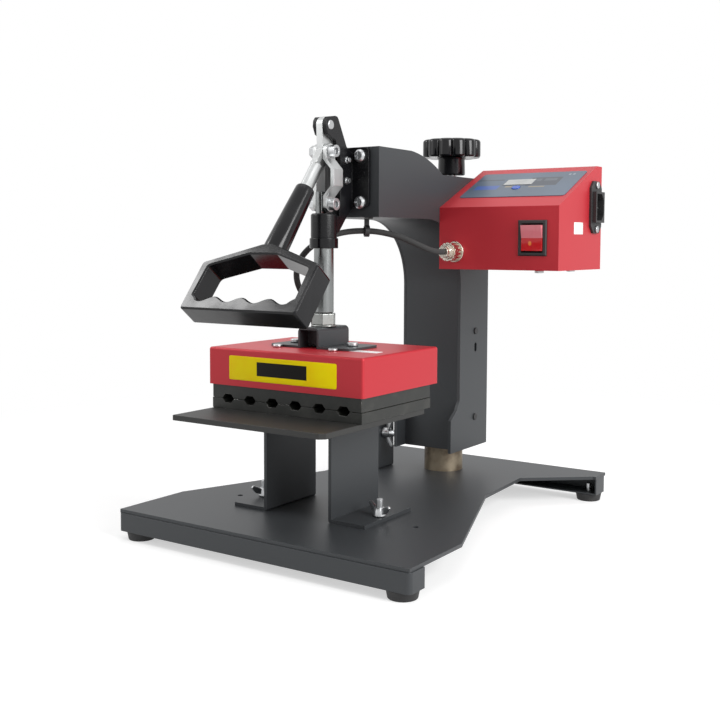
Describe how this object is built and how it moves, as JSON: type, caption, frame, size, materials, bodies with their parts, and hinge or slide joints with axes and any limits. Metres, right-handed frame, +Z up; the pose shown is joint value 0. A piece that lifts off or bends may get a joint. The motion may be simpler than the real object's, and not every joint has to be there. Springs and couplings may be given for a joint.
{
  "type": "pen heat press",
  "caption": "Bench-top swing-away heat press for pens, with toggle clamp, grooved heated block, folded base on rubber feet and a side control box.",
  "frame": {"origin": "on the table surface, under the axis of the post that the arm swings about", "axes": "+X to the operator's right, +Y to the back, +Z up along the post"},
  "size_m": [0.2993, 0.3872, 0.3549],
  "materials": {
    "black_powder_coat": "satin powder coat",
    "rubber": "matt",
    "zinc": "zinc plated",
    "chrome": "polished",
    "bronze_post": "oiled bronze-brown steel",
    "bush_brass": "turned",
    "graphite_block": "dark coated, scratched edges",
    "red_enamel": "satin enamel",
    "black_gloss": "gloss moulded",
    "black_plastic": "matt moulded",
    "cable_jacket": "satin silicone",
    "film_blue": "printed film",
    "display_glass": "clear window",
    "key_blue": "gloss",
    "switch_red": "clear red moulded",
    "board_green": "laminate",
    "heater_alloy": "cast",
    "insulation": "ceramic felt"
  },
  "bodies": {
    "root": {"base_plate": "black_powder_coat", "front_rail": "black_powder_coat", "rear_rail": "black_powder_coat", "rubber_feet": "rubber", "foot_screws": "zinc", "base_bolts": "zinc", "pivot_post": "bronze_post", "stand_leg_left": "black_powder_coat", "stand_leg_right": "black_powder_coat", "lower_platen": "black_powder_coat", "platen_screws": "zinc", "lower_block": "graphite_block", "swing_stop": "black_powder_coat", "stop_screw": "zinc"},
    "swing_arm": {"side_plate_left": "black_powder_coat", "side_plate_right": "black_powder_coat", "throat_web": "black_powder_coat", "spine_cover": "black_powder_coat", "arm_front_plate": "black_powder_coat", "pivot_sleeve": "zinc", "post_bushes": "bush_brass", "hole_plugs": "black_plastic", "toggle_bracket": "black_powder_coat", "bracket_bolts": "zinc", "guide_bush": "black_powder_coat", "top_pivot_pin": "zinc", "box_shell": "red_enamel", "box_cover": "red_enamel", "box_screws": "zinc", "control_film": "film_blue", "display_window": "display_glass", "circuit_board": "board_green", "switch_bezel": "black_plastic", "power_inlet": "black_plastic", "inlet_pins": "bush_brass", "cable_socket": "chrome", "cable_plug": "chrome", "heater_cable": "cable_jacket", "cable_clip": "black_plastic"},
    "handle": {"lever": "chrome", "grip": "black_gloss"},
    "links": {"toggle_links": "zinc", "link_bolts": "zinc"},
    "plunger": {"plunger_rod": "chrome", "lock_nut": "chrome", "hat_bracket": "black_powder_coat", "head_screws": "chrome", "head_cover": "red_enamel", "insulation_pad": "insulation", "heater_plate": "heater_alloy", "upper_block": "graphite_block", "cable_gland": "black_plastic"},
    "lock_knob": {"star_knob": "black_gloss", "knob_stud": "zinc"},
    "rocker": {"rocker_switch": "switch_red"},
    "key": {"panel_key": "key_blue"},
    "coupling_ring": {"cable_ring": "chrome"},
    "left_nut": {"stand_wing_nut_left": "zinc"},
    "right_nut": {"stand_wing_nut_right": "zinc"},
    "stop_nut": {"stop_wing_nut": "zinc"}
  },
  "joints": [
    {"name": "arm_swing", "type": "hinge", "parent": "root", "child": "swing_arm", "pos_m": [0, 0, 0.17], "axis": [0, 0, 1], "range_deg": [0, 100]},
    {"name": "handle_lift", "type": "hinge", "parent": "swing_arm", "child": "handle", "pos_m": [0, -0.204, 0.3469], "axis": [-1, 0, 0], "range_deg": [0, 90]},
    {"name": "link_fold", "type": "hinge", "parent": "handle", "child": "links", "pos_m": [0, -0.204, 0.3255], "axis": [1, 0, 0], "range_deg": [0, 122.7]},
    {"name": "plunger_slide", "type": "slide", "parent": "swing_arm", "child": "plunger", "axis": [0, 0, 1], "range_m": [0, 0.0236], "deforming": ["heater_cable"]},
    {"name": "knob_turn", "type": "hinge", "parent": "swing_arm", "child": "lock_knob", "pos_m": [0, 0.011, 0.335], "axis": [0, 0, 1], "continuous": true},
    {"name": "rocker_tilt", "type": "hinge", "parent": "swing_arm", "child": "rocker", "pos_m": [0.125, -0.0664, 0.2554], "axis": [-1, 0, 0], "range_deg": [0, 12]},
    {"name": "key_press", "type": "slide", "parent": "swing_arm", "child": "key", "axis": [0, 0.4139, -0.9103], "range_m": [0, 0.0006], "stiffness_N_per_m": 400},
    {"name": "ring_turn", "type": "hinge", "parent": "swing_arm", "child": "coupling_ring", "pos_m": [0.0485, -0.078, 0.243], "axis": [0, -1, 0], "continuous": true},
    {"name": "left_nut_turn", "type": "hinge", "parent": "root", "child": "left_nut", "pos_m": [-0.0645, -0.203, 0.033], "axis": [0, 0, 1], "continuous": true},
    {"name": "right_nut_turn", "type": "hinge", "parent": "root", "child": "right_nut", "pos_m": [0.0555, -0.203, 0.033], "axis": [0, 0, 1], "continuous": true},
    {"name": "stop_nut_turn", "type": "hinge", "parent": "root", "child": "stop_nut", "pos_m": [-0.045, -0.035, 0.062], "axis": [1, 0, 0], "continuous": true}
  ],
  "couplings": [
    {"joint": "link_fold", "follows": "handle_lift", "ratio": 1.3625},
    {"joint": "plunger_slide", "follows": "handle_lift", "m_per_rad": 0.015}
  ]
}
